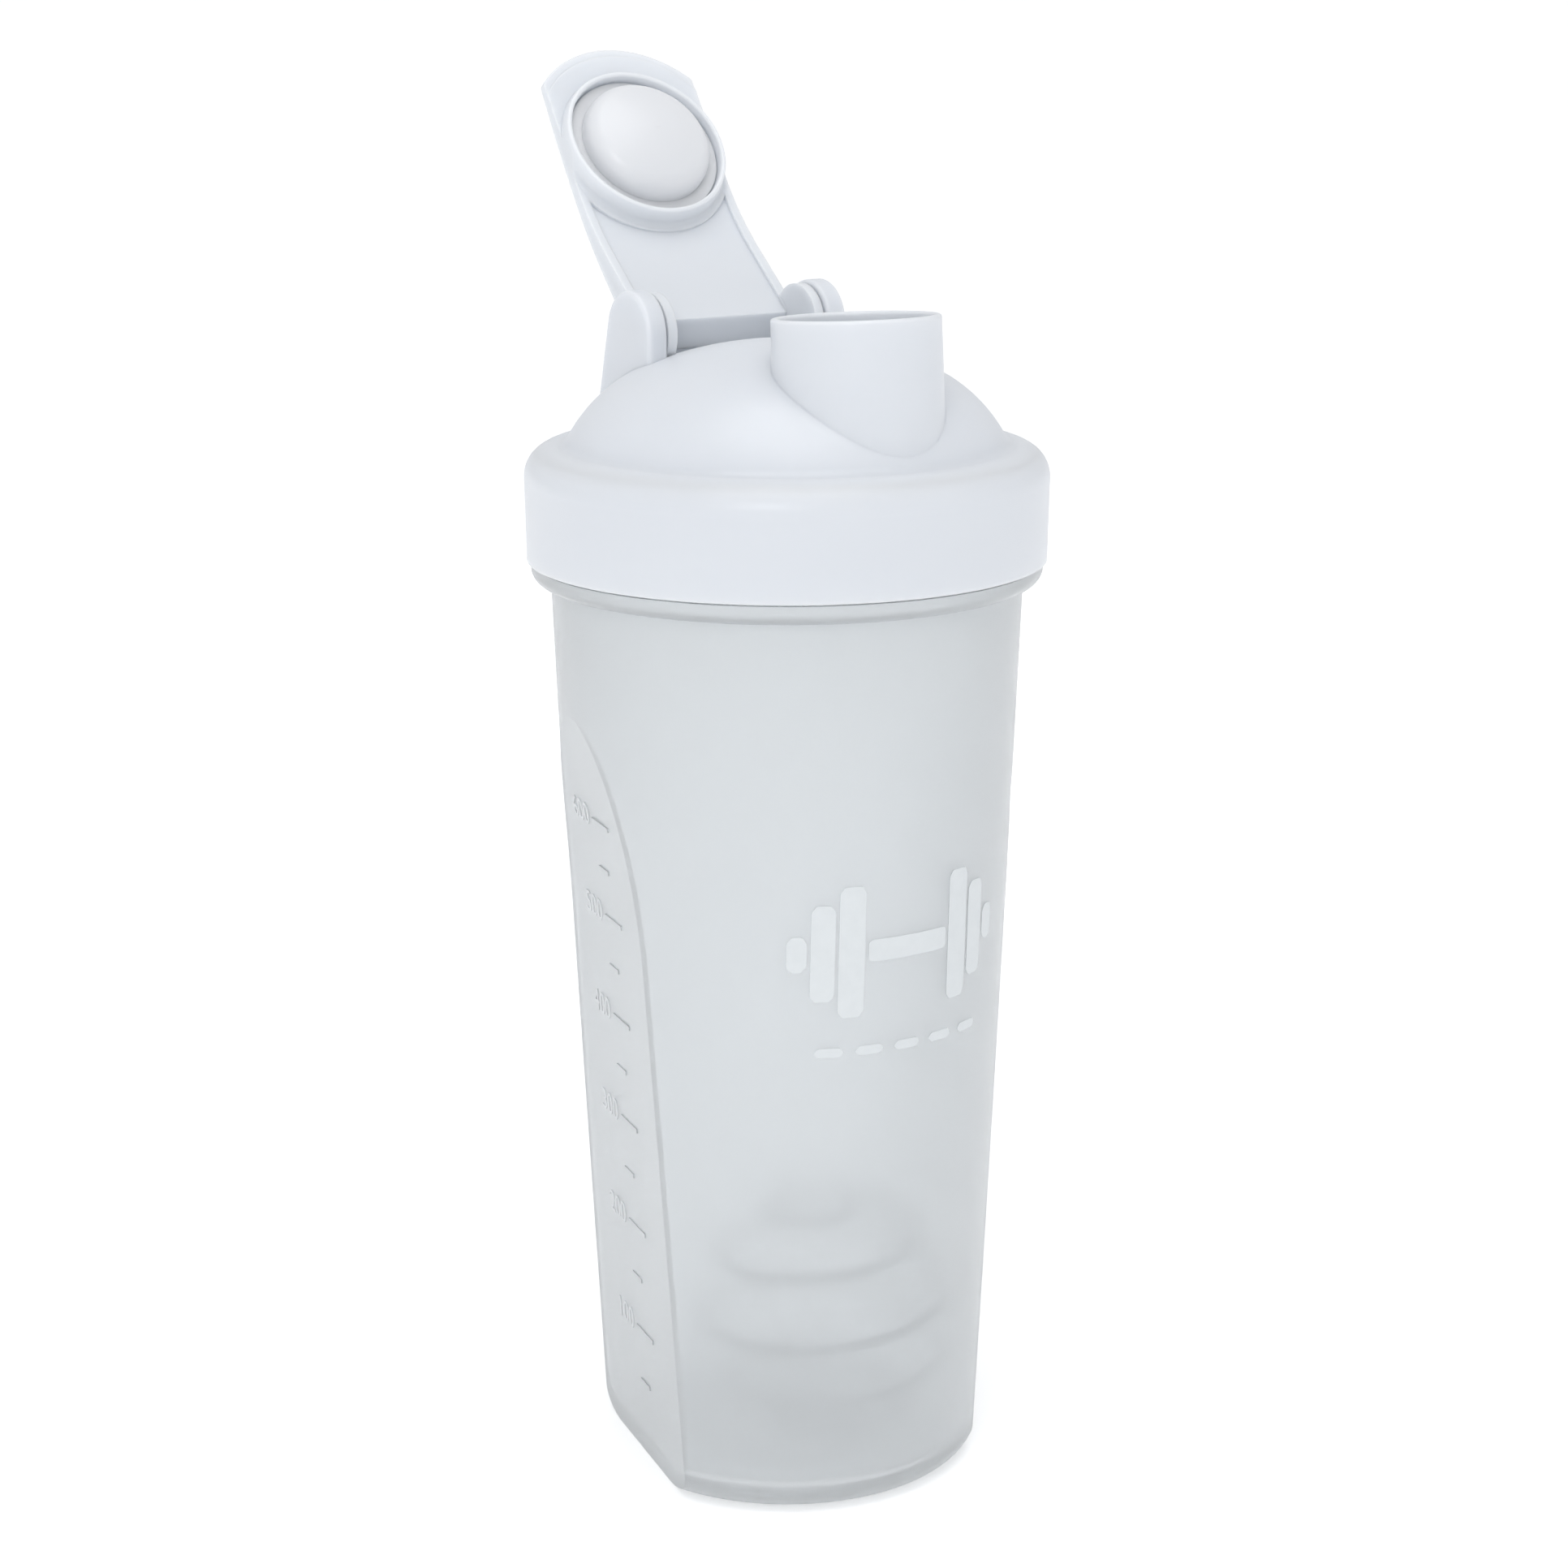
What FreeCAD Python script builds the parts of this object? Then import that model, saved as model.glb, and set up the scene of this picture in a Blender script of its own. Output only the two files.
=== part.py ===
"""Protein shaker bottle: frosted bottle, screw lid with spout, flip cap, seal ring and wire whisk ball.

Millimetres. Origin at the centre of the base, +Z up, spout towards -Y, cap hinge axis along X at +Y.
The two flat panels face -X and +X, turned a little about Z; the spout and its collar lean back alike.
The cap is modelled closed about its own hinge axis and then swung open onto its stop.
"""
import FreeCAD, Part
import math
import os

import Sketcher

from FreeCAD import Placement, Rotation, Vector

SIZES = {
    # bottle
    "base_radius": 37.9, "body_top_radius": 44.25, "body_top": 172.0, "wall": 1.6, "base_fillet": 5.0,
    "floor_height": 3.8, "floor_fillet": 4.0, "recess_radius": 27.5, "recess_slope": 3.0, "recess_depth": 1.8,
    "panel_base_offset": 30.2, "panel_slope": 0.062, "panel_bend": 105.0, "panel_curve": 260.0,
    "panel_top": 165.0, "panel_turn": 10.0,
    "bead_radius": 48.0, "bead_bottom": 174.0, "bead_top": 177.7, "bead_round": 2.6,
    "neck_radius": 44.3, "neck_top": 195.3, "neck_round": 0.6,
    # embossed volume scale on the two flat panels
    "mark_step": 50.0, "mark_count": 12, "mark_long": 9.0, "mark_short": 5.0, "mark_width": 0.8,
    "mark_proud": 0.25, "mark_depth": 0.5, "mark_start": 1.0,
    # screw thread
    "thread_pitch": 5.0, "thread_turns": 1.5, "bottle_thread_radius": 46.0, "lid_thread_radius": 44.9,
    "bottle_thread_start": 181.5, "thread_root_width": 2.0, "thread_crest_width": 1.1, "thread_root": 0.4,
    # lid
    "lid_bottom": 178.1, "lid_radius": 49.0, "lid_bottom_radius": 48.75, "skirt_inner_radius": 46.4,
    "shoulder_start": 193.6, "shoulder_round": 5.6, "crease_round": 2.5,
    "dome_apex": 218.4, "dome_crown_radius": 72.0, "dome_side_radius": 29.0, "dome_join_angle": 21.0,
    "dome_wall": 2.0, "seat_height": 197.6, "plug_outer_radius": 42.0, "plug_inner_radius": 40.5,
    "plug_bottom": 192.3, "inner_foot_height": 196.5,
    # spout
    "spout_offset": 23.1, "spout_lean": 3.5, "spout_rim": 224.9, "spout_rim_radius": 15.35,
    "spout_foot_radius": 15.6, "spout_foot": 198.0, "spout_wall": 1.5, "spout_round": 0.6,
    # hinge tower
    "hinge_back": 21.2, "hinge_height": 218.7, "ear_radius": 8.0, "ear_inner": 17.7, "ear_thickness": 4.2,
    "ear_foot_back": 33.2, "ear_foot": 204.0, "ear_back_angle": 12.7, "ear_edge_round": 0.8,
    "lug_relief_radius": 7.85, "lug_relief_inner": 14.9, "boss_radius": 9.8, "boss_inner": 13.6,
    "boss_bite": 1.2,
    "stop_front": 28.1, "stop_front_height": 215.0, "stop_back": 29.3, "stop_back_height": 216.6,
    "stop_foot_back": 31.9, "socket_radius": 2.5, "socket_depth": 2.3,
    # flip cap, in its own frame: closed, with the hinge axis at the origin
    "cap_half_width": 17.2, "cap_tip_half_width": 16.7, "lug_radius": 7.4, "lug_thickness": 1.9,
    "pin_radius": 2.4, "pin_length": 2.3, "pin_root": 0.5, "arm_blend_curve": 100.0, "arm_rear_curve": 110.0,
    "arm_rear_angle": 9.15, "arm_front_curve": 300.0, "under_flat_start": 36.2, "under_flat_height": 7.7,
    "under_curve": 60.0, "under_angle": 15.1, "under_tip_height": 6.7, "root_round": 1.2,
    "root_inset": 3.6, "root_share": 0.13, "root_lead": 0.75,
    "face_recess": 0.7, "face_half_width": 15.2,
    "tab_radius": 22.9, "tab_start_radius": 21.3, "tab_step": 0.5, "tip_corner_round": 1.5,
    "collar_inner_radius": 15.7, "collar_crest_radius": 16.7, "collar_foot_radius": 17.1,
    "collar_crest": 4.4, "collar_round": 0.45, "collar_foot": 6.8, "collar_spread": 18.6,
    "open_angle": 126.0,
    # stopper and seal ring
    "stopper_radius": 13.0, "stopper_apex": 0.4, "stopper_crown_radius": 30.0, "stopper_crown_angle": 20.0,
    "stopper_shoulder": 4.2, "flange_radius": 15.4, "flange_height": 6.45, "stopper_seat": 7.0,
    "stem_radius": 7.0, "stem_top": 8.5,
    "seal_inner_radius": 42.3, "seal_outer_radius": 46.1, "seal_bottom": 195.6, "seal_top": 197.4,
    "seal_round": 0.4,
    # whisk ball
    "ball_radius": 25.0, "wire_radius": 0.9, "ball_turns": 5.0, "ball_right": 2.3, "ball_front": 10.6,
    "ball_rest": 4.2, "ball_pole_angle": 10.0,
}

doc = FreeCAD.newDocument("ShakerBottle")
sheet = doc.addObject("Spreadsheet::Sheet", "Sizes")
for row, (alias, number) in enumerate(SIZES.items(), start=1):
    sheet.set("A%d" % row, alias)
    sheet.set("B%d" % row, str(number))
    sheet.setAlias("B%d" % row, alias)
doc.recompute()


class Dim:
    """A length that carries its number and the expression that binds it to the sheet."""

    def __init__(self, number, text):
        self.number, self.text = number, text

    def _join(self, other, sign, number):
        other = dim(other)
        return Dim(number(self.number, other.number), "(%s %s %s)" % (self.text, sign, other.text))

    def __add__(self, other):
        return self._join(other, "+", lambda a, b: a + b)

    def __sub__(self, other):
        return self._join(other, "-", lambda a, b: a - b)

    def __mul__(self, other):
        return self._join(other, "*", lambda a, b: a * b)

    def __truediv__(self, other):
        return self._join(other, "/", lambda a, b: a / b)

    def __neg__(self):
        return Dim(-self.number, "(-%s)" % self.text)


def dim(value):
    """The named size, or a bare number, as a Dim."""
    if isinstance(value, Dim):
        return value
    if isinstance(value, str):
        return Dim(SIZES[value], "Sizes.%s" % value)
    return Dim(float(value), "%.6f" % value)


def sine(value):
    return Dim(math.sin(math.radians(value.number)), "sin(%s * 1 deg)" % value.text)


def cosine(value):
    return Dim(math.cos(math.radians(value.number)), "cos(%s * 1 deg)" % value.text)


def root(value):
    return Dim(math.sqrt(value.number), "sqrt(%s)" % value.text)


def make_body(name):
    return doc.addObject("PartDesign::Body", name)


def origin_plane(body, role):
    return [feature for feature in body.Origin.OriginFeatures if feature.Role == role][0]


def make_sketch(body, name, role, offset=None):
    """A sketch on one of the body's own origin planes, moved along its normal by a Dim."""
    sketch = body.newObject("Sketcher::SketchObject", name)
    sketch.AttachmentSupport = [(origin_plane(body, role), "")]
    sketch.MapMode = "FlatFace"
    if offset is not None:
        sketch.setExpression(".AttachmentOffset.Base.z", offset.text)
    return sketch


def arc_centre(start, end, radius):
    """Centre of the short arc from start to end; a positive radius bulges to the right of the way."""
    chord = end - start
    across = Vector(-chord.y, chord.x, 0).normalize()
    height = math.sqrt(max(radius * radius - chord.Length ** 2 / 4, 0))
    return (start + end) * 0.5 + across * (height if radius > 0 else -height)


def draw_outline(sketch, corners):
    """A closed outline. Each corner is (x, y) or (x, y, radius), the radius of the arc to the next."""
    corners = [[dim(value) for value in corner] for corner in corners]
    points = [Vector(corner[0].number, corner[1].number, 0) for corner in corners]
    count = len(corners)
    starts, ends = [], []
    for index, corner in enumerate(corners):
        start, end = points[index], points[(index + 1) % count]
        if len(corner) == 2:
            edge = sketch.addGeometry(Part.LineSegment(start, end), False)
            starts.append((edge, 1))
            ends.append((edge, 2))
            continue
        radius = corner[2].number
        centre = arc_centre(start, end, radius)
        angles = [math.atan2(point.y - centre.y, point.x - centre.x) for point in (start, end)]
        if radius < 0:
            angles.reverse()
        circle = Part.Circle(centre, Vector(0, 0, 1), abs(radius))
        edge = sketch.addGeometry(Part.ArcOfCircle(circle, angles[0], angles[1]), False)
        starts.append((edge, 1 if radius > 0 else 2))
        ends.append((edge, 2 if radius > 0 else 1))
    for index in range(count):
        follow = (index + 1) % count
        sketch.addConstraint(Sketcher.Constraint("Coincident", *ends[index], *starts[follow]))
    for index, corner in enumerate(corners):
        for kind, value in (("DistanceX", corner[0]), ("DistanceY", corner[1])):
            number = sketch.addConstraint(Sketcher.Constraint(kind, -1, 1, *starts[index], value.number))
            sketch.setExpression("Constraints[%d]" % number, value.text)
        if len(corner) == 3:
            size = corner[2] if corner[2].number > 0 else -corner[2]
            number = sketch.addConstraint(Sketcher.Constraint("Radius", starts[index][0], size.number))
            sketch.setExpression("Constraints[%d]" % number, size.text)
    return sketch


def revolve(name, corners, body=None):
    """A body turned about Z from an outline of (radius, height) corners."""
    body = body or make_body(name)
    sketch = draw_outline(make_sketch(body, name + "_profile", "XZ_Plane"), corners)
    feature = body.newObject("PartDesign::Revolution", name + "_turned")
    feature.Profile = sketch
    feature.ReferenceAxis = (sketch, ["V_Axis"])
    feature.Angle = 360
    body.Tip = feature
    return body


def extrude(name, role, corners, length, offset=None, midplane=False, body=None):
    """A body padded from an outline on an origin plane."""
    body = body or make_body(name)
    sketch = draw_outline(make_sketch(body, name + "_profile", role, offset), corners)
    feature = body.newObject("PartDesign::Pad", name + "_pad")
    feature.Profile = sketch
    feature.setExpression("Length", length.text)
    if midplane:
        feature.SideType = "Symmetric"
    body.Tip = feature
    return body


def pocket(body, name, role, corners, length):
    """Cut an outline out of the body, the same length to both sides of the origin plane."""
    sketch = draw_outline(make_sketch(body, name + "_profile", role), corners)
    feature = body.newObject("PartDesign::Pocket", name)
    feature.Profile = sketch
    feature.setExpression("Length", length.text)
    feature.SideType = "Symmetric"
    body.Tip = feature
    return body


def fillet(body, name, radius, chosen):
    """Round the edges of the body's last feature that the test chooses."""
    doc.recompute()
    base = body.Tip
    names = ["Edge%d" % (index + 1) for index, edge in enumerate(base.Shape.Edges) if chosen(edge)]
    feature = body.newObject("PartDesign::Fillet", name)
    feature.Base = (base, names)
    feature.setExpression("Radius", dim(radius).text)
    body.Tip = feature
    return body


def mirror(body, name):
    """Mirror the body's last feature in its own YZ plane."""
    doc.recompute()
    feature = body.newObject("PartDesign::Mirrored", name)
    feature.Originals = [body.Tip]
    feature.MirrorPlane = (origin_plane(body, "YZ_Plane"), [""])
    body.Tip = feature
    return body


def cylinder_x(name, radius, start, length, back, height):
    """A cylinder along X from x = start, about the line y = back, z = height."""
    tube = doc.addObject("Part::Cylinder", name)
    tube.setExpression("Radius", dim(radius).text)
    tube.setExpression("Height", dim(length).text)
    tube.Placement = Placement(Vector(0, 0, 0), Rotation(Vector(0, 1, 0), 90))
    for axis, value in (("x", start), ("y", back), ("z", height)):
        tube.setExpression(".Placement.Base.%s" % axis, dim(value).text)
    return tube


def cylinder_pair(name, radius, start, length, back, height):
    """The same cylinder on both sides of the middle plane."""
    right = cylinder_x(name + "_right", radius, start, length, back, height)
    left = cylinder_x(name + "_left", radius, -dim(start) - length, length, back, height)
    return [right, left]


def fuse(name, shapes):
    joined = doc.addObject("Part::MultiFuse", name)
    joined.Shapes = shapes
    joined.Refine = False
    return joined


def cut(name, base, tool):
    result = doc.addObject("Part::Cut", name)
    result.Base, result.Tool = base, tool
    return result


def common(name, first, second):
    result = doc.addObject("Part::Common", name)
    result.Base, result.Tool = first, second
    return result


def helical_thread(name, root_radius, crest_radius, start):
    """One trapezoid thread, right-handed, starting at height start."""
    body = make_body(name)
    root, crest = dim("thread_root_width") / 2, dim("thread_crest_width") / 2
    corners = [(root_radius, start - root), (crest_radius, start - crest),
               (crest_radius, start + crest), (root_radius, start + root)]
    sketch = draw_outline(make_sketch(body, name + "_profile", "XZ_Plane"), corners)
    helix = body.newObject("PartDesign::AdditiveHelix", name + "_helix")
    helix.Profile = sketch
    helix.ReferenceAxis = (sketch, ["V_Axis"])
    helix.Mode = 1
    helix.setExpression("Pitch", dim("thread_pitch").text)
    helix.setExpression("Turns", dim("thread_turns").text)
    helix.Angle = 0
    body.Tip = helix
    return body


# ---------------------------------------------------------------------------------------------- bottle
TAPER = (dim("body_top_radius") - "base_radius") / "body_top"
PANEL_REACH = dim(120)
OUTSIDE = dim(60)
PANEL_TURN = Placement(Vector(0, 0, 0), Rotation(Vector(0, 0, 1), -SIZES["panel_turn"]))


def wall_radius(height):
    """Outer radius of the tapered wall at a height."""
    return dim("base_radius") + TAPER * height


def panel_outline(inset):
    """The space beyond one flat panel: a leaning plane that curves out into the round wall."""
    rise = dim("panel_top") - "panel_bend"
    slope = dim("panel_slope")
    low, bend = dim(-2), dim("panel_bend")
    start = dim("panel_base_offset") - inset
    top = start + slope * "panel_top" + rise * rise / (dim("panel_curve") * 2)
    return [(start + slope * low, low), (start + slope * bend, bend, -dim("panel_curve")),
            (top, "panel_top"), (OUTSIDE, "panel_top"), (OUTSIDE, low)]


def with_panels(body, name, inset):
    """Cut the two flat side panels, moved inwards by an inset, and turn the body to face them."""
    pocket(body, name, "XZ_Plane", panel_outline(inset), PANEL_REACH)
    mirror(body, name + "_mirrored")
    body.Placement = PANEL_TURN
    return body


def bottle_outside():
    round_low, bead = dim("base_fillet"), dim("bead_round")
    side = dim("bead_radius")
    corners = [(0, "recess_depth"), (dim("recess_radius") - "recess_slope", "recess_depth"),
               ("recess_radius", 0),
               (wall_radius(round_low) - round_low, 0, round_low),
               (wall_radius(round_low), round_low * (dim(1) - TAPER)),
               (wall_radius(dim("bead_bottom")), "bead_bottom"), (side - bead, "bead_bottom", bead),
               (side, dim("bead_bottom") + bead), (side, "bead_top"), ("neck_radius", "bead_top"),
               ("neck_radius", dim("neck_top") - "neck_round", "neck_round"),
               (dim("neck_radius") - "neck_round", "neck_top"), (0, "neck_top")]
    return with_panels(revolve("bottle_outside", corners), "outer_panel", dim(0))


def bottle_cavity():
    """The hollow, cut as its own solid so that the wall is as thick on the flat panels as elsewhere."""
    low, round_low = dim("floor_height"), dim("floor_fillet")
    foot = wall_radius(low + round_low) - "wall"
    above = dim("neck_top") + 1
    mouth = dim("neck_radius") - "wall"
    corners = [(0, low), (foot - round_low, low, round_low), (foot, low + round_low),
               (dim("body_top_radius") - "wall", "body_top"), (mouth, "bead_top"), (mouth, above),
               (0, above)]
    return with_panels(revolve("bottle_cavity", corners), "inner_panel", dim("wall"))


def mark_height(volume):
    """Height of a filling level: the volume of a tapered round cavity, found by halving."""
    low, high = SIZES["floor_height"], SIZES["body_top"]
    inner = SIZES["base_radius"] - SIZES["wall"]
    while high - low > 0.001:
        middle = (low + high) / 2
        first, last = inner + TAPER.number * SIZES["floor_height"], inner + TAPER.number * middle
        filled = math.pi * (middle - SIZES["floor_height"]) * (first ** 2 + first * last + last ** 2) / 3
        low, high = (middle, high) if filled < volume * 1000 else (low, middle)
    return high


def volume_marks():
    """Raised bars on both panels, every second one long."""
    bars = []
    for index in range(int(SIZES["mark_count"])):
        height = mark_height(SIZES["mark_step"] * (index + 1))
        over = max(height - SIZES["panel_bend"], 0)
        face = (SIZES["panel_base_offset"] + SIZES["panel_slope"] * height
                + over ** 2 / (2 * SIZES["panel_curve"]))
        lean = math.degrees(math.atan(SIZES["panel_slope"] + over / SIZES["panel_curve"]))
        length = "mark_long" if index % 2 else "mark_short"
        for side in (-1, 1):
            bar = doc.addObject("Part::Box", "mark")
            bar.setExpression("Length", "Sizes.mark_proud + Sizes.mark_depth")
            bar.setExpression("Width", "Sizes.%s" % length)
            bar.setExpression("Height", "Sizes.mark_width")
            spin = Rotation(Vector(0, 0, 1), 0 if side > 0 else 180)
            inner = Vector(face - SIZES["mark_depth"], SIZES["mark_start"], height)
            tilt = Rotation(Vector(0, 1, 0), lean)
            bar.Placement = PANEL_TURN * Placement(Vector(0, 0, 0), spin) * Placement(inner, tilt)
            bars.append(bar)
    return bars


def bottle_body():
    thread = helical_thread("bottle_thread", dim("neck_radius") - "thread_root", dim("bottle_thread_radius"),
                            dim("bottle_thread_start"))
    outside = fuse("bottle_solid", [bottle_outside(), thread] + volume_marks())
    return cut("bottle_body", outside, bottle_cavity())


# ------------------------------------------------------------------------------------------------- lid
def dome_outline(wall):
    """Corners of the dome's generator from the side up to the crown, inset by the wall."""
    crown, side = dim("dome_crown_radius"), dim("dome_side_radius")
    angle = dim("dome_join_angle")
    low = dim("dome_apex") - crown
    join = ((crown - wall) * sine(angle), low + (crown - wall) * cosine(angle))
    return join, side - wall, crown - wall


def lid_outside():
    """The ring, its rounded shoulder and the dome, with a hollow round in the crease between them."""
    join, side, crown = dome_outline(dim(0))
    shoulder_top = dim("shoulder_start") + "shoulder_round"
    hollow = dim("crease_round")
    angle = dim("dome_join_angle")
    side_centre = (join[0] - side * sine(angle), join[1] - side * cosine(angle))
    rise = shoulder_top + hollow - side_centre[1]
    reach = root((side + hollow) * (side + hollow) - rise * rise)
    share = side / (side + hollow)
    corners = [(0, "lid_bottom"), ("lid_bottom_radius", "lid_bottom"),
               ("lid_radius", "shoulder_start", "shoulder_round"),
               (dim("lid_radius") - "shoulder_round", shoulder_top),
               (side_centre[0] + reach, shoulder_top, -hollow),
               (side_centre[0] + reach * share, side_centre[1] + rise * share, side),
               (join[0], join[1], crown), (0, "dome_apex")]
    return revolve("lid_outside", corners)


def lid_cavity():
    """The hollow under the dome, less the two bosses that back the lug reliefs."""
    join, side, crown = dome_outline(dim("dome_wall"))
    below = dim("lid_bottom") - 1
    corners = [(0, below), ("skirt_inner_radius", below), ("skirt_inner_radius", "seat_height"),
               ("plug_outer_radius", "seat_height"), ("plug_outer_radius", "plug_bottom"),
               ("plug_inner_radius", "plug_bottom"), ("plug_inner_radius", "inner_foot_height", side),
               (join[0], join[1], crown), (0, dim("dome_apex") - "dome_wall")]
    hollow = revolve("lid_hollow", corners)
    length = dim("ear_inner") + "boss_bite" - "boss_inner"
    bosses = fuse("lug_bosses", cylinder_pair("lug_boss", "boss_radius", dim("boss_inner"), length,
                                              "hinge_back", "hinge_height"))
    return cut("lid_cavity", hollow, bosses)


def lean_back(body, offset, height):
    """Move a body turned about its own Z forward by the offset, leaning back about a point on its axis."""
    lean = dim("spout_lean")
    body.Placement = Placement(Vector(0, 0, 0), Rotation(Vector(1, 0, 0), -lean.number))
    body.setExpression(".Placement.Base.y", (-(offset + height * sine(lean))).text)
    body.setExpression(".Placement.Base.z", (height * (dim(1) - cosine(lean))).text)
    return body


def spout():
    """The drinking spout as a solid and its bore, both turned about the spout's own axis."""
    rim, lip = dim("spout_rim"), dim("spout_round")
    outer, foot = dim("spout_rim_radius"), dim("spout_foot_radius")
    solid = revolve("spout", [(0, "spout_foot"), (foot, "spout_foot"), (outer, rim - lip, lip),
                              (outer - lip, rim), (0, rim)])
    wall = dim("spout_wall")
    low, above = dim("spout_foot") - 1, rim + 1
    bore = revolve("spout_bore", [(0, low), (foot - wall, low), (outer - wall, rim - lip, -lip),
                                  (outer - wall + lip, rim), (outer - wall + lip, above), (0, above)])
    return lean_back(solid, dim("spout_offset"), rim), lean_back(bore, dim("spout_offset"), rim)


def ear():
    """One hinge ear: a plate with a round head, a straight front and a leaning back."""
    back, height, radius = dim("hinge_back"), dim("hinge_height"), dim("ear_radius")
    angle = dim("ear_back_angle")
    corners = [(back - radius, "ear_foot"), ("ear_foot_back", "ear_foot"),
               (back + radius * cosine(angle), height + radius * sine(angle), radius),
               (back - radius, height)]
    body = extrude("ear_right", "YZ_Plane", corners, dim("ear_thickness"), offset=dim("ear_inner"))
    faces = (SIZES["ear_inner"], SIZES["ear_inner"] + SIZES["ear_thickness"])

    def on_a_side(edge):
        box = edge.BoundBox
        foot = box.ZMax < SIZES["ear_foot"] + 0.01
        return not foot and box.XLength < 0.01 and min(abs(box.XMin - face) for face in faces) < 0.01

    return fillet(body, "ear_rounding", "ear_edge_round", on_a_side)


def stop_wall():
    """The low wall between the ears that the open cap leans on."""
    corners = [("stop_front", "ear_foot"), ("stop_foot_back", "ear_foot"),
               ("stop_back", "stop_back_height"), ("stop_front", "stop_front_height")]
    return extrude("stop_wall", "YZ_Plane", corners, (dim("ear_inner") + 1) * 2, midplane=True)


def screw_lid():
    ear_right = ear()
    ear_left = doc.addObject("Part::Mirroring", "ear_left")
    ear_left.Source = ear_right
    ear_left.Normal = Vector(1, 0, 0)
    spout_solid, spout_bore = spout()
    outside = fuse("lid_solid", [lid_outside(), spout_solid, ear_right, ear_left, stop_wall()])
    relief_length = dim("ear_inner") - "lug_relief_inner"
    hollows = [lid_cavity(), spout_bore]
    hollows += cylinder_pair("lug_relief", "lug_relief_radius", dim("lug_relief_inner"), relief_length,
                             "hinge_back", "hinge_height")
    hollows += cylinder_pair("pin_socket", "socket_radius", dim("ear_inner"), dim("socket_depth"),
                             "hinge_back", "hinge_height")
    shell = cut("lid_shell", outside, fuse("lid_hollows", hollows))
    start = dim("bottle_thread_start") + dim("thread_pitch") / 2
    thread = helical_thread("lid_thread", dim("skirt_inner_radius") + "thread_root",
                            dim("lid_thread_radius"), start)
    return fuse("screw_lid", [shell, thread])


# -------------------------------------------------------------------------------------------- flip cap
def underside():
    """Corners of the arm's underside, from the tip to the root."""
    angle, curve = dim("under_angle"), dim("under_curve")
    bend = (-dim("under_flat_start") + curve * sine(angle),
            dim("under_flat_height") - curve * (dim(1) - cosine(angle)))
    slope = sine(angle) / cosine(angle)
    return bend, slope


def outer_face():
    """Corners of the arm's outer face, from the root to the tip."""
    angle, blend, rear = dim("arm_rear_angle"), dim("arm_blend_curve"), dim("arm_rear_curve")
    front = dim("arm_front_curve")
    tip = -(dim("spout_offset") + "hinge_back" + "tab_radius" + 1)
    inflection = (-blend * sine(angle), dim("lug_radius") + blend * (dim(1) - cosine(angle)))
    crest = (inflection[0] - rear * sine(angle), inflection[1] + rear * (dim(1) - cosine(angle)))
    run = crest[0] - tip
    drop = run * run / (front * 2)
    return [(0, "lug_radius", -blend), (*inflection, rear), (*crest, front), (tip, crest[1] - drop)]


def above_arm():
    """Everything above the arm's outer face, which trims the top of the leaning collar."""
    corners = outer_face()
    above = dim("lug_radius") * 3
    corners += [(corners[-1][0], above), (0, above)]
    return extrude("above_arm", "YZ_Plane", corners, dim("cap_half_width") * 3, midplane=True)


def arm():
    """Side view of the arm, padded across its width."""
    bend, slope = underside()
    heel = bend[1] + bend[0] * slope
    edge, angle_under = dim("root_round"), dim("under_angle")
    face = outer_face()
    inset, share, lead = dim("root_inset"), dim("root_share"), dim("root_lead")
    end = (-inset, heel + inset * slope)
    corners = [(face[-1][0], "under_tip_height"),
               (-dim("under_flat_start"), "under_flat_height", -dim("under_curve")),
               bend, (end[0] - edge * lead, end[1] + edge * slope * lead, edge),
               (end[0] * (dim(1) - share), end[1] + (dim("lug_radius") - end[1]) * share)] + face
    body = extrude("arm", "YZ_Plane", corners, dim("cap_half_width") * 2, midplane=True)
    depth = dim("face_recess")
    floor_curve = dim("under_curve") - depth
    middle = -(dim("spout_offset") + "hinge_back")
    recess = [(middle, -3), (middle, dim("under_flat_height") + depth),
              (-dim("under_flat_start"), dim("under_flat_height") + depth, -floor_curve),
              (bend[0] + depth * sine(angle_under), bend[1] + depth * cosine(angle_under)),
              (2, heel - dim(2) * slope + depth / cosine(angle_under)), (2, -3)]
    return pocket(body, "inner_face", "YZ_Plane", recess, dim("face_half_width") * 2)


def plan_outline(tip_radius):
    """Plan view of the cap: straight sides and a tip that is round about the spout's axis."""
    half, tip_half = dim("cap_half_width"), dim("cap_tip_half_width")
    centre = -(dim("spout_offset") + "hinge_back")
    radius = SIZES[tip_radius]
    depth = Dim(math.sqrt(radius ** 2 - tip_half.number ** 2),
                "sqrt(Sizes.%s ^ 2 - Sizes.cap_tip_half_width ^ 2)" % tip_radius)
    back = dim("lug_radius")
    return [(half, back), (-half, back), (-tip_half, centre - depth, tip_radius), (tip_half, centre - depth)]


def plan(name, tip_radius):
    body = extrude(name, "XY_Plane", plan_outline(tip_radius), dim(60), midplane=True)

    def at_tip(edge):
        box = edge.BoundBox
        return box.ZLength > 1 and box.YMax < -SIZES["hinge_back"]

    return fillet(body, name + "_corners", "tip_corner_round", at_tip)


def about_spout(body):
    """Move a body turned about its own Z onto the spout's axis, as seen from the hinge."""
    return lean_back(body, dim("spout_offset") + "hinge_back", dim("spout_rim") - "hinge_height")


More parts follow.
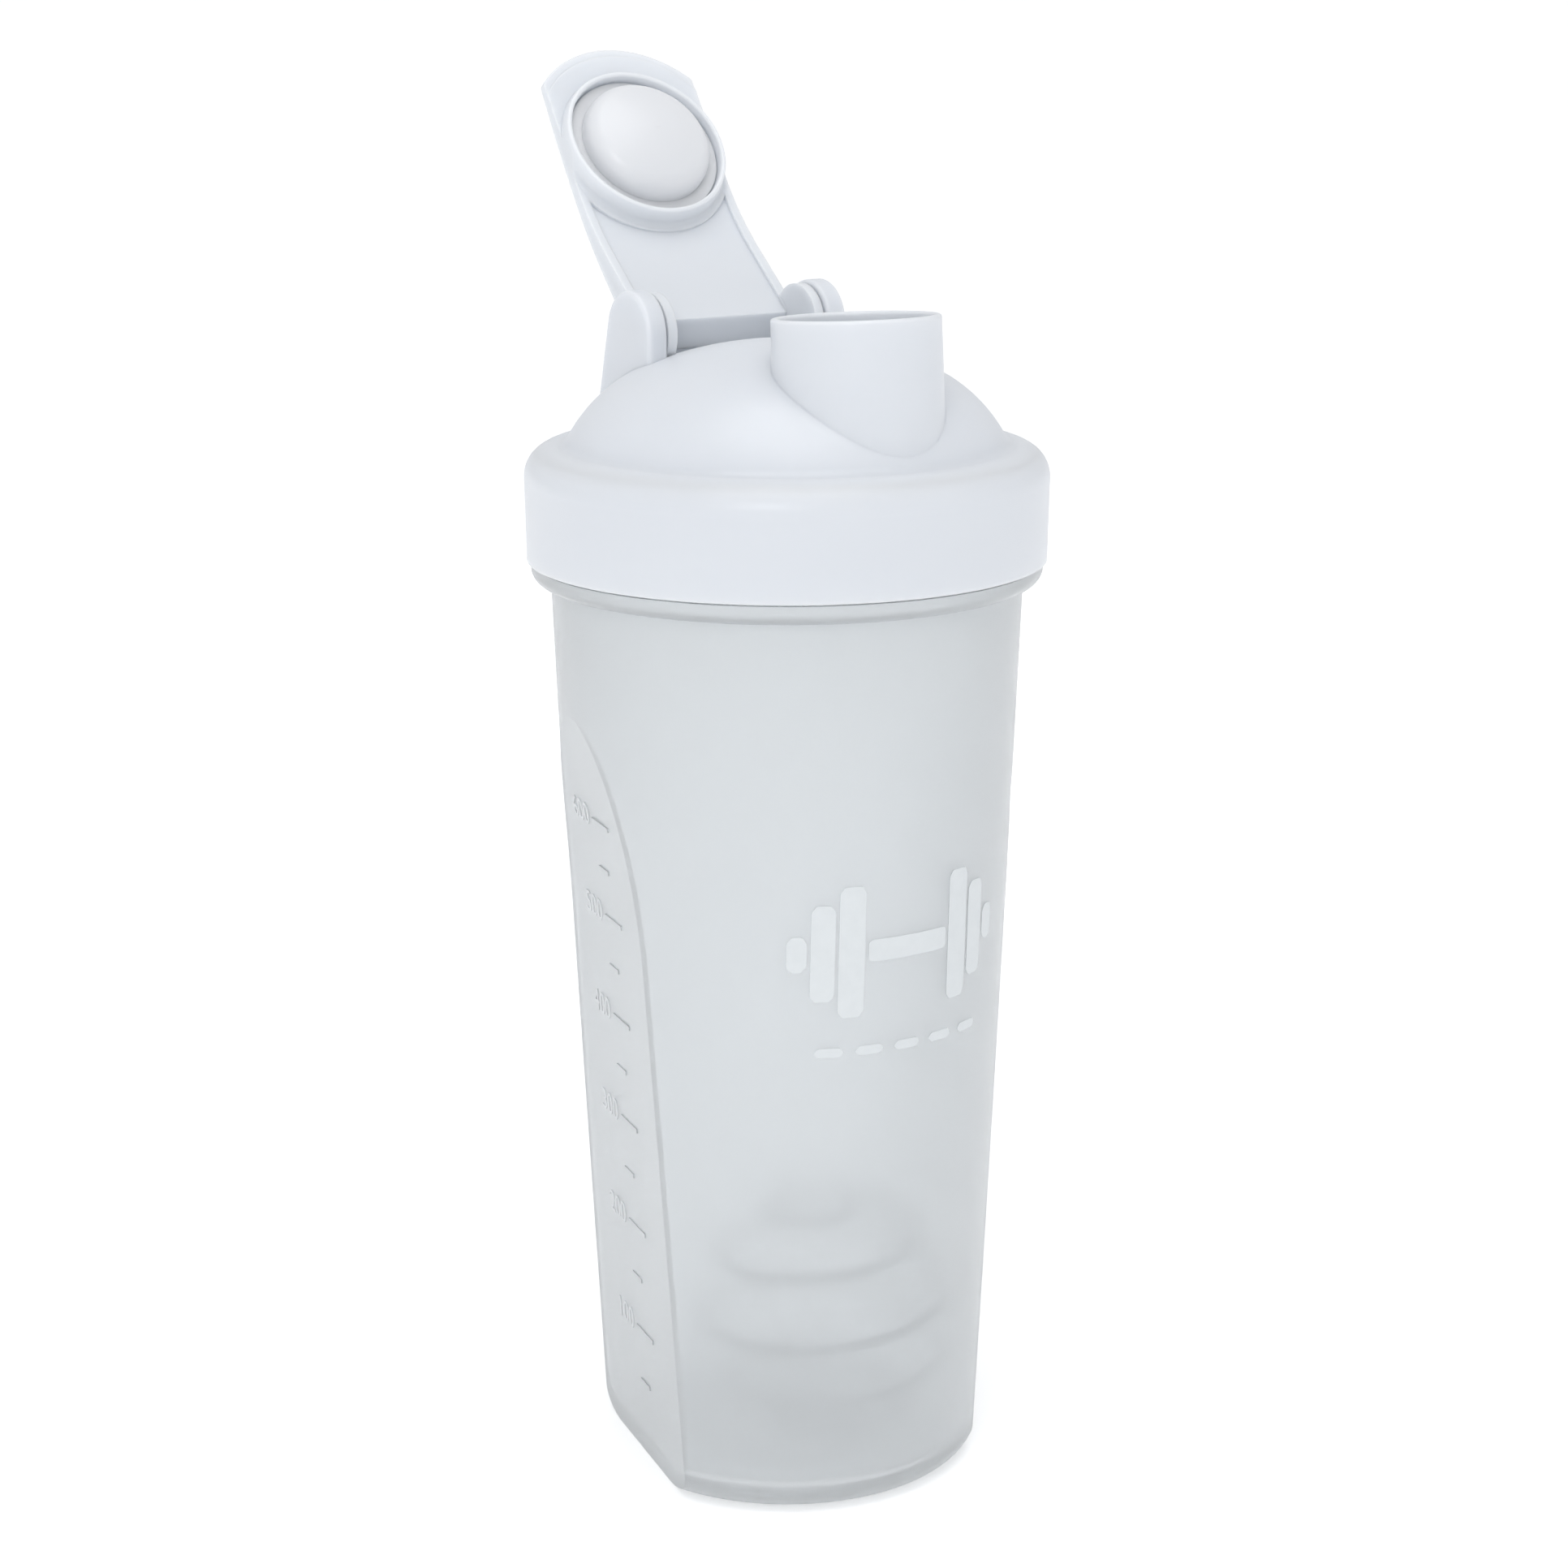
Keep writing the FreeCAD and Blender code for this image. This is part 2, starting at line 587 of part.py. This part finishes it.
def collar():
    """The ring that closes round the outside of the spout."""
    crest, lip, top = dim("collar_crest"), dim("collar_round"), dim("under_flat_height") * 2
    inner, outer = dim("collar_inner_radius"), dim("collar_crest_radius")
    spread = dim("collar_spread")
    foot = dim("collar_foot_radius")
    corners = [(0, "stopper_seat"), (inner, "stopper_seat"), (inner, crest + lip, lip), (inner + lip, crest),
               (outer - lip, crest, lip), (outer, crest + lip), (foot, "collar_foot", -(spread - foot)),
               (spread, dim("collar_foot") + (spread - foot)), (spread, top), (0, top)]
    return cut("trimmed_collar", about_spout(revolve("collar", corners)), above_arm())


def tab_relief():
    """Thins the underside of the tip beyond the collar, which leaves the thumb tab."""
    start, depth = dim("tab_start_radius"), dim("tab_step")
    corners = [(start, -5), (dim("tab_radius") + 5, -5),
               (dim("tab_radius") + 5, dim("under_tip_height") + depth),
               (start, dim("under_tip_height") + depth)]
    ring = revolve("tab_relief_ring", corners)
    half, centre = dim("tab_radius") + 5, -(dim("spout_offset") + "hinge_back")
    ring.setExpression(".Placement.Base.y", centre.text)
    tip = extrude("tab_relief_tip", "XY_Plane", [(-half, centre - half), (half, centre - half),
                                                 (half, centre), (-half, centre)], dim(60), midplane=True)
    return common("tab_relief", ring, tip)


def flip_cap():
    body = common("cap_blank", fuse("arm_and_collar", [arm(), collar()]), plan("cap_plan", "tab_radius"))
    lug_start = dim("cap_half_width") - "lug_thickness"
    hinge = cylinder_pair("lug", "lug_radius", lug_start, dim("lug_thickness"), 0, 0)
    hinge += cylinder_pair("hinge_pin", "pin_radius", dim("cap_half_width") - "pin_root",
                           dim("pin_length") + "pin_root", 0, 0)
    well, stem = dim("collar_inner_radius"), dim("stem_radius")
    socket = about_spout(revolve("stopper_socket", [(0, 0), (well, 0), (well, "stopper_seat"),
                                                    (stem, "stopper_seat"), (stem, "stem_top"),
                                                    (0, "stem_top")]))
    return cut("flip_cap", fuse("cap_solid", [body] + hinge), fuse("cap_cuts", [socket, tab_relief()]))


def spout_stopper():
    """A low dome with a rounded shoulder and a stem that is pressed into the cap."""
    crown, angle = dim("stopper_crown_radius"), dim("stopper_crown_angle")
    shoulder, side = dim("stopper_shoulder"), dim("stopper_radius")
    join = (crown * sine(angle), -dim("stopper_apex") + crown * (dim(1) - cosine(angle)))
    widest = join[1] + shoulder * cosine(angle)
    corners = [(0, -dim("stopper_apex"), crown), (*join, shoulder), (side, widest), (side, "flange_height"),
               ("flange_radius", "flange_height"), ("flange_radius", "stopper_seat"),
               ("stem_radius", "stopper_seat"), ("stem_radius", "stem_top"), (0, "stem_top")]
    return about_spout(revolve("spout_stopper", corners))


def lid_gasket():
    """The soft ring that the neck presses against, under the lid's shoulder."""
    inner, outer, edge = dim("seal_inner_radius"), dim("seal_outer_radius"), dim("seal_round")
    low, high = dim("seal_bottom"), dim("seal_top")
    return revolve("lid_gasket", [(inner + edge, low), (outer - edge, low, edge), (outer, low + edge),
                                  (outer, high), (inner, high), (inner, low + edge, edge)])


# ------------------------------------------------------------------------------------------ whisk ball
SPANS_PER_TURN = 8


def ball_point(share):
    """Point of the wire's centre line on the sphere, pole to pole as share goes from 0 to 1."""
    radius = SIZES["ball_radius"] - SIZES["wire_radius"]
    pole = math.radians(SIZES["ball_pole_angle"])
    polar = pole + (math.pi - 2 * pole) * share
    turn = 2 * math.pi * SIZES["ball_turns"] * share
    return Vector(radius * math.sin(polar) * math.cos(turn), radius * math.sin(polar) * math.sin(turn),
                  -radius * math.cos(polar))


def ball_direction(share):
    step = 0.0005
    return (ball_point(share + step) - ball_point(share - step)).normalize()


def tangent_arc(start, corner, end):
    """The arc from start to end that is tangent to both sides of their corner point."""
    middle = (start + end) * 0.5
    side, height = (corner - start).Length, (corner - middle).Length
    half_chord = (end - middle).Length
    radius = side * half_chord / height
    centre = corner + (middle - corner).normalize() * math.sqrt(side ** 2 + radius ** 2)
    return Part.Arc(start, centre + (corner - centre).normalize() * radius, end).toShape()


def wire_path():
    """The coil's centre line as pairs of tangent arcs."""
    count = int(SIZES["ball_turns"] * SPANS_PER_TURN)
    shares = [index / count for index in range(count + 1)]
    edges = []
    for first, last in zip(shares, shares[1:]):
        start, end = ball_point(first), ball_point(last)
        leave, arrive = ball_direction(first), ball_direction(last)
        across = end - start
        square = 2 * (1 - leave.dot(arrive))
        linear = 2 * across.dot(leave + arrive)
        reach = (-linear + math.sqrt(linear ** 2 + 4 * square * across.dot(across))) / (2 * square)
        corner_a, corner_b = start + leave * reach, end - arrive * reach
        joint = (corner_a + corner_b) * 0.5
        edges += [tangent_arc(start, corner_a, joint), tangent_arc(joint, corner_b, end)]
    return Part.Wire(edges)


def whisk_ball():
    """One steel wire wound into an open ball; it rests on the bottle's floor."""
    path = wire_path()
    section = Part.Wire([Part.Circle(ball_point(0), ball_direction(0), SIZES["wire_radius"]).toShape()])
    sweep = Part.BRepOffsetAPI.MakePipeShell(path)
    sweep.add(section)
    sweep.build()
    sweep.makeSolid()
    ball = doc.addObject("Part::Feature", "whisk_ball")
    ball.Shape = sweep.shape()
    ball.Placement = Placement(Vector(SIZES["ball_right"], -SIZES["ball_front"],
                                      SIZES["ball_rest"] + SIZES["ball_radius"]), Rotation())
    expected = path.Length * math.pi * SIZES["wire_radius"] ** 2
    print("whisk ball: wire %.0f mm, volume %.1f of %.1f mm3" % (path.Length, ball.Shape.Volume, expected))
    return ball


# -------------------------------------------------------------------------------------------- assembly
def swing_open(part):
    """Carry a closed-frame part to the hinge and lean it back onto its stop."""
    turn = Placement(Vector(0, SIZES["hinge_back"], SIZES["hinge_height"]),
                     Rotation(Vector(1, 0, 0), -SIZES["open_angle"]))
    closed = part.Placement
    for axis in "yz":
        part.setExpression(".Placement.Base." + axis, None)
    part.Placement = turn.multiply(closed)


def check(features):
    """Stop on any failed feature and on any sub-part that is not one valid solid."""
    for feature in doc.Objects:
        if "Invalid" in feature.State or "Error" in feature.State:
            raise RuntimeError("%s: %s" % (feature.Label, feature.State))
    for name, feature in features.items():
        shape = feature.Shape
        if shape.isNull() or not shape.isValid() or len(shape.Solids) != 1:
            raise RuntimeError("%s is not one valid solid" % name)
        print("%-14s %9.1f mm3 %4d faces" % (name, shape.Volume, len(shape.Faces)))


def main():
    features = {"bottle_body": bottle_body(), "screw_lid": screw_lid(), "flip_cap": flip_cap(),
                "spout_stopper": spout_stopper(), "lid_gasket": lid_gasket(), "whisk_ball": whisk_ball()}
    doc.recompute()
    for name in ("flip_cap", "spout_stopper"):
        swing_open(features[name])
    doc.recompute()
    for name, feature in features.items():
        feature.Label = name
    check(features)
    os.makedirs("parts", exist_ok=True)
    for name, feature in features.items():
        feature.Shape.exportStep("parts/%s.step" % name)


main()
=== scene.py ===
"""Looks of the shaker bottle round its CAD part: materials, print, numerals, camera and studio."""
import math

import bmesh
import bpy
from mathutils import Matrix, Vector


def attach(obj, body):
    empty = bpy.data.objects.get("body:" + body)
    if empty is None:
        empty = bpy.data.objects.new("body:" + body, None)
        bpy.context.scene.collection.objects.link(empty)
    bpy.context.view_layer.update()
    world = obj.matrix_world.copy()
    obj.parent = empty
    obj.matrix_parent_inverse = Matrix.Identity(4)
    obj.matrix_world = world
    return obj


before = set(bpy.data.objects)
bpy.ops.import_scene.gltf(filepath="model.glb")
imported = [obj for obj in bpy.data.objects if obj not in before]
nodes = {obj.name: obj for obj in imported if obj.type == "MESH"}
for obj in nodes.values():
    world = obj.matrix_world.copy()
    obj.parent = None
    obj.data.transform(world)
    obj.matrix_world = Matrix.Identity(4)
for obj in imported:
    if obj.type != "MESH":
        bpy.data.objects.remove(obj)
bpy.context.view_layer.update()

# Wall of the bottle: the same dimensions as the CAD, in metres.
BASE_RADIUS, BODY_TOP_RADIUS, BODY_TOP = 0.0379, 0.04425, 0.172
WALL, FLOOR = 0.0016, 0.0038
WALL_TAPER = (BODY_TOP_RADIUS - BASE_RADIUS) / BODY_TOP
PANEL_OFFSET, PANEL_SLOPE, PANEL_BEND, PANEL_CURVE = 0.0302, 0.062, 0.105, 0.260
PANEL_TURN = math.radians(-10)

# Print, a thin film on the front wall, in metres.
FILM_THICKNESS, FILM_GAP, FILM_STEP = 0.00006, 0.00001, 0.0008
PRINT_HEIGHT = 0.1125
HANDLE_REACH, HANDLE_HALF = 0.0085, 0.0021
PLATES = ((0.0092, 0.0142, 0.0125), (0.0149, 0.0194, 0.0092), (0.0201, 0.0238, 0.0034))
DASH_SPACING, DASH_HALF, DASH_LOW, DASH_HIGH = 0.0078, 0.0028, 0.0925, 0.0943

# Numerals moulded on the flat panels, in metres, beside the marks at these millilitres.
NUMERALS = range(100, 700, 100)
NUMERAL_SIZE, NUMERAL_PROUD = 0.0062, 0.00015
NUMERAL_LIFT, NUMERAL_SHIFT = 0.0004, -0.0010
LEVEL_PRECISION = 0.000001

MILLILITRE = 0.000001  # in cubic metres

# Studio, in metres.
FLOOR_RINGS = (0.2, 0.6, 2.0, 8.0, 30.0)
FLOOR_CORNERS = 64
FLOOR_DROP = 0.0002
LIT_POINT = (0, 0, 0.13)


# ---------------------------------------------------------------------------------------- materials
class Surface:
    """A Principled material with helpers for the procedural nodes that drive it."""

    def __init__(self, name):
        self.material = bpy.data.materials.new(name)
        self.material.use_nodes = True
        self.tree = self.material.node_tree
        self.shader = self.tree.nodes["Principled BSDF"]
        self.place = self.node("ShaderNodeTexCoord").outputs["Object"]

    def node(self, kind, **values):
        made = self.tree.nodes.new(kind)
        for name, value in values.items():
            made.inputs[name].default_value = value
        return made

    def link(self, start, end):
        self.tree.links.new(start, end)

    def stretched(self, scale):
        """Object coordinates scaled by a different amount along each axis."""
        mapping = self.node("ShaderNodeMapping", Scale=scale)
        self.link(self.place, mapping.inputs["Vector"])
        return mapping.outputs["Vector"]

    def noise(self, scale, detail=3.0, place=None):
        """Noise whose grain is 1/scale metres across."""
        made = self.node("ShaderNodeTexNoise", Scale=scale, Detail=detail, Roughness=0.55)
        self.link(place or self.place, made.inputs["Vector"])
        return made.outputs["Fac"]

    def between(self, factor, low, high, start=0.35, end=0.65):
        """A number that runs from low to high as the factor goes from start to end."""
        ranged = self.node("ShaderNodeMapRange", **{"From Min": start, "From Max": end,
                                                    "To Min": low, "To Max": high})
        self.link(factor, ranged.inputs["Value"])
        return ranged.outputs["Result"]

    def colours(self, factor, low, high, start=0.3, end=0.7):
        """A colour that runs from low to high as the factor goes from start to end."""
        ramp = self.node("ShaderNodeValToRGB")
        self.link(factor, ramp.inputs["Fac"])
        for element, position, colour in zip(ramp.color_ramp.elements, (start, end), (low, high)):
            element.position = position
            element.color = (*colour, 1)
        return ramp.outputs["Color"]

    def set(self, **values):
        """Constants of the shader, with an underscore for each space in a socket's name."""
        for name, value in values.items():
            self.shader.inputs[name.replace("_", " ")].default_value = value

    def drive(self, name, output):
        self.link(output, self.shader.inputs[name])

    def bump(self, layers, edge=0.0):
        """Bump from layers of (height output, depth in metres), over edges rounded to a radius."""
        normal = None
        if edge:
            bevel = self.node("ShaderNodeBevel", Radius=edge)
            bevel.samples = 6
            normal = bevel.outputs["Normal"]
        for height, depth in layers:
            bump = self.node("ShaderNodeBump", Strength=1.0, Distance=depth)
            self.link(height, bump.inputs["Height"])
            if normal:
                self.link(normal, bump.inputs["Normal"])
            normal = bump.outputs["Normal"]
        self.link(normal, self.shader.inputs["Normal"])


def white_plastic(name, low, high, rough, edge, scatter, depth):
    """Injection-moulded white plastic: faint flow tone, satin skin, light that scatters inside.

    The colour runs from low to high and the roughness over the pair rough. Edges are rounded to the
    edge radius, and the share scatter of the light goes in to the depth, both lengths in metres.
    """
    surface = Surface(name)
    flow = surface.noise(24.0, 2.0, place=surface.stretched((1.0, 1.0, 2.2)))
    surface.drive("Base Color", surface.colours(flow, low, high, 0.2, 0.8))
    surface.drive("Roughness", surface.between(surface.noise(60.0, 2.0), *rough, 0.2, 0.8))
    surface.bump([(surface.noise(55.0, 1.0), 0.00008), (surface.noise(2600.0, 2.0), 0.000004)],
                 edge)
    surface.set(IOR=1.49, Subsurface_Weight=scatter, Subsurface_Radius=(1.0, 0.98, 0.97),
                Subsurface_Scale=depth)
    return surface


def frosted_plastic(name, transmission):
    """Natural polypropylene: milky, passes a share of soft light, fine spark-eroded frost."""
    surface = Surface(name)
    cloud = surface.noise(20.0, 2.0, place=surface.stretched((1.0, 1.0, 0.4)))
    surface.drive("Base Color", surface.colours(cloud, (0.925, 0.948, 0.962),
                                                (0.94, 0.962, 0.973), 0.2, 0.8))
    surface.drive("Roughness", surface.between(surface.noise(180.0, 2.0), 0.29, 0.34, 0.2, 0.8))
    surface.bump([(surface.noise(45.0, 2.0), 0.00010), (surface.noise(1900.0, 3.0), 0.000008)],
                 edge=0.00015)
    surface.set(IOR=1.45, Transmission_Weight=transmission, Specular_IOR_Level=0.4)
    return surface


def silicone():
    """Matt white silicone rubber."""
    surface = Surface("white_silicone")
    surface.drive("Base Color", surface.colours(surface.noise(60.0), (0.70, 0.71, 0.72),
                                                (0.76, 0.77, 0.78)))
    surface.drive("Roughness", surface.between(surface.noise(500.0), 0.55, 0.7))
    surface.bump([(surface.noise(1500.0), 0.00001)])
    surface.set(IOR=1.42, Subsurface_Weight=0.2, Subsurface_Scale=0.001)
    return surface


def steel_wire():
    """Bright drawn stainless wire with faint die lines and water marks."""
    surface = Surface("drawn_stainless")
    tone = surface.noise(240.0, 4.0)
    surface.drive("Base Color", surface.colours(tone, (0.42, 0.43, 0.44), (0.54, 0.55, 0.56)))
    surface.drive("Roughness", surface.between(surface.noise(900.0), 0.2, 0.36))
    surface.bump([(surface.noise(3200.0), 0.000008)])
    surface.set(Metallic=1.0)
    return surface


def print_ink():
    """White screen-print ink, slightly uneven."""
    surface = Surface("white_print_ink")
    surface.drive("Base Color", surface.colours(surface.noise(420.0, 4.0), (0.655, 0.685, 0.70),
                                                (0.685, 0.715, 0.73), start=0.25))
    surface.drive("Roughness", surface.between(surface.noise(700.0), 0.38, 0.5))
    surface.bump([(surface.noise(2400.0), 0.000006)])
    return surface


frosted = frosted_plastic("frosted_polypropylene", 0.70).material
raised = frosted_plastic("frosted_numerals", 0.35).material
looks = {
    "bottle_body": frosted,
    "screw_lid": white_plastic("lid_polypropylene", (0.682, 0.706, 0.742), (0.702, 0.726, 0.760),
                               rough=(0.29, 0.38), edge=0.0006, scatter=0.85,
                               depth=0.003).material,
    "flip_cap": white_plastic("cap_polypropylene", (0.695, 0.718, 0.748), (0.715, 0.738, 0.768),
                              rough=(0.33, 0.42), edge=0.0004, scatter=1.0,
                              depth=0.002).material,
    "spout_stopper": white_plastic("stopper_polyethylene", (0.73, 0.742, 0.762), (0.75, 0.76, 0.78),
                                   rough=(0.28, 0.36), edge=0.0, scatter=1.0,
                                   depth=0.0012).material,
    "lid_gasket": silicone().material,
    "whisk_ball": steel_wire().material,
}
for name, material in looks.items():
    mesh = nodes[name].data
    mesh.materials.clear()
    mesh.materials.append(material)


# ------------------------------------------------------------------------------- shapes and objects
def add(name, data):
    """A new object in the scene."""
    made = bpy.data.objects.new(name, data)
    bpy.context.scene.collection.objects.link(made)
    return made


def add_mesh(name, made):
    """A new object from a bmesh."""
    mesh = bpy.data.meshes.new(name)
    made.to_mesh(mesh)
    made.free()
    return add(name, mesh)


# -------------------------------------------------------------------------------------------- print
def wall_point(across, height, proud):
    """Point on the front wall; across is measured round it from the middle under the spout."""
    radius = BASE_RADIUS + WALL_TAPER * height
    angle = across / radius
    radius += proud
    return Vector((radius * math.sin(angle), -radius * math.cos(angle), height))


def film(name, shapes):
    """A thin closed film on the front wall from shapes of (left, right, lower edge, upper edge)."""
    made = bmesh.new()
    for left, right, lower, upper in shapes:
        count = max(2, int((right - left) / FILM_STEP))
        rows = []
        for index in range(count + 1):
            across = left + (right - left) * index / count
            low, high = lower(across), upper(across)
            levels = [low, (low + high) / 2, high]
            front, back = ([made.verts.new(wall_point(across, level, proud)) for level in levels]
                           for proud in (FILM_THICKNESS + FILM_GAP, FILM_GAP))
            rows.append(front + back[::-1])
        for first, second in zip(rows, rows[1:]):
            for corner in range(len(first)):
                follow = (corner + 1) % len(first)
                made.faces.new((first[corner], first[follow], second[follow], second[corner]))
        made.faces.new(rows[0][::-1])
        made.faces.new(rows[-1])
    bmesh.ops.recalc_face_normals(made, faces=made.faces)
    return add_mesh(name, made)


def bar(left, right, low, high, corner=0.0012):
    """A rectangle with round corners, as (left, right, lower edge, upper edge)."""
    def inset(across):
        """How far the edge has moved in, round a corner."""
        edge = min(across - left, right - across)
        if edge >= corner:
            return 0.0
        return corner - math.sqrt(max(corner ** 2 - (corner - edge) ** 2, 0.0))
    return left, right, lambda across: low + inset(across), lambda across: high - inset(across)


def print_shapes():
    """A dumbbell over a row of level bars, mirrored about the middle."""
    shapes = [bar(-HANDLE_REACH, HANDLE_REACH, PRINT_HEIGHT - HANDLE_HALF,
                  PRINT_HEIGHT + HANDLE_HALF, corner=0.0005)]
    for side in (-1, 1):
        for near, far, half in PLATES:
            left, right = sorted((side * near, side * far))
            shapes.append(bar(left, right, PRINT_HEIGHT - half, PRINT_HEIGHT + half))
    for place in range(-2, 3):
        middle = place * DASH_SPACING
        shapes.append(bar(middle - DASH_HALF, middle + DASH_HALF, DASH_LOW, DASH_HIGH,
                          corner=0.0008))
    return shapes


badge = film("dumbbell_print", print_shapes())
badge.data.materials.append(print_ink().material)
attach(badge, "bottle")


# ----------------------------------------------------------------------------------------- numerals
def panel_place(height, side):
    """Frame on a flat panel at a height: X along reading direction, Y up the panel, Z outwards."""
    over = max(height - PANEL_BEND, 0.0)
    offset = PANEL_OFFSET + PANEL_SLOPE * height + over ** 2 / (2 * PANEL_CURVE)
    lean = math.atan(PANEL_SLOPE + over / PANEL_CURVE)
    up = Vector((math.sin(lean), 0, math.cos(lean)))
    out = Vector((math.cos(lean), 0, -math.sin(lean)))
    across = up.cross(out)
    place = Matrix((across, up, out)).transposed().to_4x4()
    place.translation = Vector((offset, 0, height))
    return Matrix.Rotation(PANEL_TURN + (0 if side > 0 else math.pi), 4, "Z") @ place


def mark_height(millilitres):
    """Height of a filling level in the tapered cavity, the same sum as in the CAD."""
    low, high = FLOOR, BODY_TOP
    inner = BASE_RADIUS - WALL
    while high - low > LEVEL_PRECISION:
        middle = (low + high) / 2
        first, last = inner + WALL_TAPER * FLOOR, inner + WALL_TAPER * middle
        filled = math.pi * (middle - FLOOR) * (first ** 2 + first * last + last ** 2) / 3
        low, high = (middle, high) if filled < millilitres * MILLILITRE else (low, middle)
    return high


def raised_number(volume, side):
    """A moulded numeral beside its mark, sunk in the panel by as much as it stands proud of it."""
    text = bpy.data.curves.new("numeral", "FONT")
    text.body = str(volume)
    text.size = NUMERAL_SIZE
    text.align_x, text.align_y = "RIGHT", "CENTER"
    text.extrude = NUMERAL_PROUD
    text.resolution_u = 6
    source = add("numeral_source", text)
    bpy.context.view_layer.update()
    depsgraph = bpy.context.evaluated_depsgraph_get()
    mesh = bpy.data.meshes.new_from_object(source.evaluated_get(depsgraph))
    bpy.data.objects.remove(source)
    height = mark_height(volume) + NUMERAL_LIFT
    mesh.transform(panel_place(height, side) @ Matrix.Translation((NUMERAL_SHIFT, 0, 0)))
    mesh.materials.clear()
    mesh.materials.append(raised)
    piece = add("numeral_%d_%s" % (volume, "right" if side > 0 else "left"), mesh)
    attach(piece, "bottle")


for volume in NUMERALS:
    for side in (-1, 1):
        raised_number(volume, side)


# -------------------------------------------------------------------------------- studio and camera
def floor():
    """A round sheet of pale paper that glows a little, more so away from the object."""
    made = bmesh.new()
    centre = made.verts.new((0, 0, 0))
    loops = []
    for radius in FLOOR_RINGS:
        loops.append([made.verts.new((radius * math.cos(2 * math.pi * step / FLOOR_CORNERS),
                                      radius * math.sin(2 * math.pi * step / FLOOR_CORNERS), 0))
                      for step in range(FLOOR_CORNERS)])
    for step in range(FLOOR_CORNERS):
        follow = (step + 1) % FLOOR_CORNERS
        made.faces.new((centre, loops[0][step], loops[0][follow]))
        for inner, outer in zip(loops, loops[1:]):
            made.faces.new((inner[step], outer[step], outer[follow], inner[follow]))
    piece = add_mesh("studio_floor", made)
    piece.location.z = -FLOOR_DROP
    surface = Surface("studio_paper")
    surface.drive("Base Color", surface.colours(surface.noise(6.0), (0.90, 0.90, 0.90),
                                                (0.92, 0.92, 0.92)))
    distance = surface.node("ShaderNodeVectorMath")
    distance.operation = "LENGTH"
    surface.link(surface.place, distance.inputs[0])
    glow = surface.between(distance.outputs["Value"], low=0.34, high=0.44, start=0.2, end=1.2)
    surface.drive("Emission Strength", glow)
    surface.set(Roughness=0.9, Specular_IOR_Level=0.1, Emission_Color=(0.98, 0.99, 1.0, 1))
    piece.data.materials.append(surface.material)


def softbox(name, place, size, power):
    """A round area lamp at a place, of a diameter in metres and a power in watts."""
    lamp = bpy.data.lights.new(name, "AREA")
    lamp.shape = "DISK"
    lamp.size = size
    lamp.energy = power
    box = add(name, lamp)
    box.location = place
    box.rotation_euler = (Vector(LIT_POINT) - Vector(place)).to_track_quat("-Z", "Y").to_euler()


floor()
world = bpy.data.worlds.new("studio")
world.use_nodes = True
background = world.node_tree.nodes["Background"]
background.inputs["Color"].default_value = (0.97, 0.98, 1.0, 1)
background.inputs["Strength"].default_value = 0.66
bpy.context.scene.world = world
bpy.context.scene.view_settings.view_transform = "Standard"
softbox("overhead", (-0.1, -0.2, 1.6), size=1.3, power=7.8)
softbox("front_left", (-1.25, -1.35, 1.15), size=0.8, power=7.0)

camera_data = bpy.data.cameras.new("camera")
camera_data.lens = 74.2
camera_data.sensor_width = 36.0
camera_data.shift_x = -0.0018
camera = add("camera", camera_data)
camera.location = (-0.3190, -0.5065, 0.2886)
camera.rotation_euler = (math.radians(75.48), 0, math.radians(-32.2))
bpy.context.scene.camera = camera
